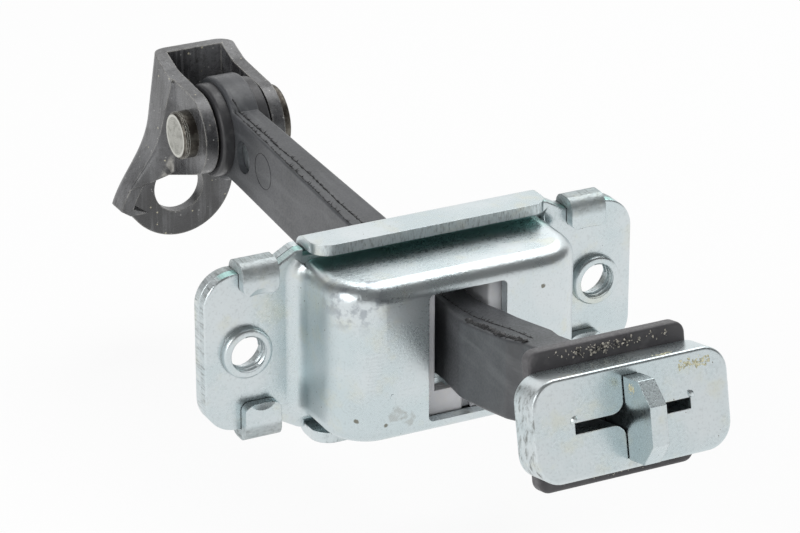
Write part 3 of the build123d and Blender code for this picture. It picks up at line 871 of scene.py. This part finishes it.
def make_residue(draw):
    """Yellow residue on the end plate's front, top and upper left edge, and on the hammer-head."""
    shape = bmesh.new()
    for _ in range(STAINS):
        place = end_face("end_plate", draw.uniform(*STAIN_ACROSS), draw.gauss(*STAIN_UP))
        crumb(shape, place, draw.uniform(*STAIN_SIZE), STAIN_FLAT, draw)
    for _ in range(TOP_STAINS):
        place = end_top(draw.gauss(*TOP_STAIN_GATHERED), draw.uniform(*TOP_STAIN_OUT))
        crumb(shape, place, draw.uniform(*TOP_STAIN_SIZE), STAIN_FLAT, draw)
    for _ in range(EDGE_STAINS):
        place = end_top(draw.uniform(*EDGE_STAIN_ACROSS), draw.uniform(*EDGE_STAIN_OUT))
        crumb(shape, place, draw.uniform(*EDGE_STAIN_SIZE), THIN_STAIN_FLAT, draw)
    for _ in range(HEAD_STAINS):
        place = head_side(draw.gauss(*HEAD_STAIN_OUT), draw.gauss(*HEAD_STAIN_UP))
        crumb(shape, place, draw.uniform(*HEAD_STAIN_SIZE), THIN_STAIN_FLAT, draw)
    add_piece("end_plate_residue", shape, "arm", residue)


def make_slot_burr(name, side):
    """Pinched lip at one end of the end plate's slot."""
    shape = bmesh.new()
    places = []
    for i in range(BURR_POINTS):
        across, up = (first + step * i for first, step in zip(BURR_FIRST, BURR_STEP))
        places.append(end_face("end_plate", side * across, up))
    lip(shape, places, swelling(BURR_LEAST, BURR_SWELL, BURR_POINTS))
    add_piece(name, shape, "arm", zinc)


def make_pin_rings():
    """Two fine turned rings near the plain end of the pin."""
    shape = bmesh.new()
    for inset in PIN_RING_INSETS:
        centre = Vector((PIN_LOW.x + inset, PIN_CENTRE.y, PIN_CENTRE.z))
        places = []
        for angle in round_angles(PIN_RING_POINTS):
            out = Vector((0, math.cos(angle), math.sin(angle)))
            places.append(surface("pivot_pin", centre + out * CAST_REACH, -out))
        hoop(shape, places, PIN_RING_WIDTH, PIN_RING_HEIGHT)
    add_piece("pin_rings", shape, "bracket", materials["pin_steel"])


def flank_edge(z):
    """Where the flank's front edge is along y at a height."""
    top, knee, tip = FLANK_EDGE
    (y0, z0), (y1, z1) = (top, knee) if z > knee[1] else (knee, tip)
    return y0 + (y1 - y0) * (z - z0) / (z1 - z0)


def bracket_left(y, z):
    """Point on the left side of the bracket."""
    return surface("pivot_bracket", Vector((-CAST_REACH, y, z)), RIGHT)[0]


def make_flank_bend():
    """Smooth bend that leads the left ear's face into the flared flank."""
    shape = bmesh.new()
    rings = []
    top = FLANK_EDGE[0][1]
    tip = FLANK_EDGE[-1][1]
    for i in range(BEND_ROWS + 1):
        low = top + (tip - top) * i / BEND_ROWS
        high = top + (EAR_BOTTOM - top) * i / BEND_ROWS
        flank = bracket_left(flank_edge(low) + BEAD_SINK, low)
        ear = bracket_left(flank_edge(high) - 2 * BEAD_SINK, high)
        ear.y -= min(BEND_SPREAD * (ear.x - flank.x), BEND_REACH)
        ring = [ear + RIGHT * BEND_SINK, flank + (RIGHT + BACK) * BEND_SINK / 2]
        for k in range(BEND_POINTS + 1):
            share = k / BEND_POINTS
            point = flank.lerp(ear, share)
            point.x = flank.x + (ear.x - flank.x) * share * share * (3 - 2 * share)
            ring.append(point)
        rings.append(ring)
    loft(shape, rings)
    for face in shape.faces:
        face.smooth = len(face.verts) == 4
    add_piece("flank_bend", shape, "bracket", materials["black_steel"])


def make_floor():
    """Wide pale floor that stays near white where the camera or a reflection sees it."""
    bpy.ops.mesh.primitive_plane_add(size=FLOOR_SIZE, location=(0, 0, FLOOR_Z))
    floor = bpy.context.object
    floor.name = "floor"
    material = bpy.data.materials.new("pale_floor")
    material.use_nodes = True
    material.node_tree.nodes.clear()
    g = NodeGraph(material.node_tree)
    path = g.add("LightPath")
    seen = g.math("MAXIMUM", path.outputs["Is Camera Ray"], g.mirrored(path))
    matt = g.add("BsdfDiffuse")
    g.put(matt.inputs["Color"], FLOOR_COLOUR)
    glow = g.add("Emission")
    g.put(glow.inputs["Color"], WHITE)
    mixer = g.add("MixShader")
    g.put(mixer.inputs[0], g.times(seen, FLOOR_GLOW))
    g.put(mixer.inputs[1], matt.outputs[0])
    g.put(mixer.inputs[2], glow.outputs[0])
    g.put(g.add("OutputMaterial").inputs["Surface"], mixer.outputs[0])
    floor.data.materials.append(material)


def make_world():
    """White studio with a white backdrop behind the object and above its back. Reflections see a dark room
    in front of it and to its left."""
    world = bpy.data.worlds.new("studio")
    bpy.context.scene.world = world
    world.use_nodes = True
    g = NodeGraph(world.node_tree)
    way = g.add("TexCoord").outputs["Generated"]
    front = g.step(g.vector("DOT_PRODUCT", way, BACKDROP_WAY), *BACKDROP_FADE, ROOM_DARK, 0.0)
    above = g.step(g.axis(way, Z), *HORIZON_FADE)
    reflected = g.math("SUBTRACT", 1.0, g.times(front, above))
    path = g.add("LightPath")
    mirrored = g.mirrored(path)
    seen = g.plus(path.outputs["Is Camera Ray"], g.times(mirrored, reflected))
    known = g.plus(path.outputs["Is Camera Ray"], mirrored)
    rest = g.times(g.math("SUBTRACT", 1.0, known), ROOM_LIGHT)
    background = g.tree.nodes["Background"]
    g.put(background.inputs["Strength"], g.plus(seen, rest))
    g.put(background.inputs["Color"], WHITE)


def make_softbox(name, place, width, depth, power):
    """Rectangular lamp that looks at the origin."""
    data = bpy.data.lights.new(name, "AREA")
    data.shape = "RECTANGLE"
    data.size = width
    data.size_y = depth
    data.energy = power
    lamp = bpy.data.objects.new(name, data)
    lamp.location = place
    lamp.rotation_euler = (-Vector(place)).to_track_quat("-Z", "Y").to_euler()
    bpy.context.scene.collection.objects.link(lamp)


def make_camera():
    """Camera at the viewing angle of the picture that the part is set against."""
    data = bpy.data.cameras.new("camera")
    data.lens = CAMERA_LENS
    data.sensor_width = CAMERA_SENSOR
    data.clip_start = CAMERA_CLIP
    camera = bpy.data.objects.new("camera", data)
    camera.location = CAMERA_PLACE
    camera.rotation_euler = (CAMERA_TARGET - CAMERA_PLACE).to_track_quat("-Z", "Y").to_euler()
    bpy.context.scene.collection.objects.link(camera)
    bpy.context.scene.camera = camera


# Materials by slot, and those of the pieces that have marks of their own
zinc = zinc_material("zinc_plating")
arm_plastic = plastic_material(
    "arm_moulding",
    dark=(0.042, 0.045, 0.049),
    light=(0.064, 0.067, 0.073),
    scuff=(0.11, 0.115, 0.12),
    roughness=0.35,
)
flash_plastic = plastic_material(
    "torn_flash",
    dark=(0.010, 0.010, 0.011),
    light=(0.022, 0.022, 0.024),
    scuff=(0.05, 0.05, 0.05),
    roughness=0.45,
)
bush_plastic = plastic_material(
    "bush_moulding",
    dark=(0.026, 0.026, 0.028),
    light=(0.042, 0.042, 0.045),
    scuff=(0.08, 0.08, 0.08),
    roughness=0.34,
)
shoe_plastic = plastic_material(
    "shoe_moulding",
    dark=(0.66, 0.67, 0.70),
    light=(0.76, 0.77, 0.79),
    scuff=(0.72, 0.71, 0.68),
    roughness=0.5,
)
rubber = plastic_material(
    "bumper_rubber",
    dark=(0.046, 0.044, 0.048),
    light=(0.072, 0.070, 0.074),
    scuff=(0.12, 0.117, 0.12),
    roughness=0.40,
)
pale_crumbs = crumb_material("pale_crumbs", light=(0.52, 0.49, 0.42), dark=(0.20, 0.19, 0.17))
residue = crumb_material("yellow_residue", light=(0.74, 0.72, 0.52), dark=(0.40, 0.38, 0.24))
materials = {
    "zinc_steel": zinc,
    "black_steel": coat_material("black_coating"),
    "pin_steel": pin_material("oiled_steel"),
    "spring_steel": wire_material("spring_wire", dark=(0.16, 0.16, 0.17), light=(0.24, 0.24, 0.25)),
    "arm_plastic": arm_plastic,
    "bush_plastic": bush_plastic,
    "shoe_plastic": shoe_plastic,
    "rubber": rubber,
}
dressed = {
    "base_plate": zinc_material("zinc_base", dress_base),
    "housing_cover": zinc_material("zinc_cover", dress_cover, DRAFT),
    "end_plate": zinc_material("zinc_end_plate", dress_end_plate),
}
for row in frame["record"]["subparts"]:
    mesh = nodes[row["node"]].data
    mesh.materials.clear()
    mesh.materials.append(dressed.get(row["node"], materials[row["material_slot"]]))

# Pieces that add fine forms to the solids
random_draw = random.Random(7)
bpy.context.view_layer.update()
make_thread("thread_left", -HOLE_X)
make_thread("thread_right", HOLE_X)
make_dent()
for name, (width, height, route) in FLASH_LINES.items():
    make_flash(name, route, random_draw, width, height)
make_ejector_ring()
make_bumper_crumbs(random_draw)
make_bumper_shreds(random_draw)
make_residue(random_draw)
make_slot_burr("slot_burr_left", -1)
make_slot_burr("slot_burr_right", 1)
make_pin_rings()
make_flank_bend()

# Floor, light and camera
make_floor()
make_world()
for name, softbox in SOFTBOXES.items():
    make_softbox(name, **softbox)
make_camera()
bpy.context.scene.view_settings.view_transform = "Standard"
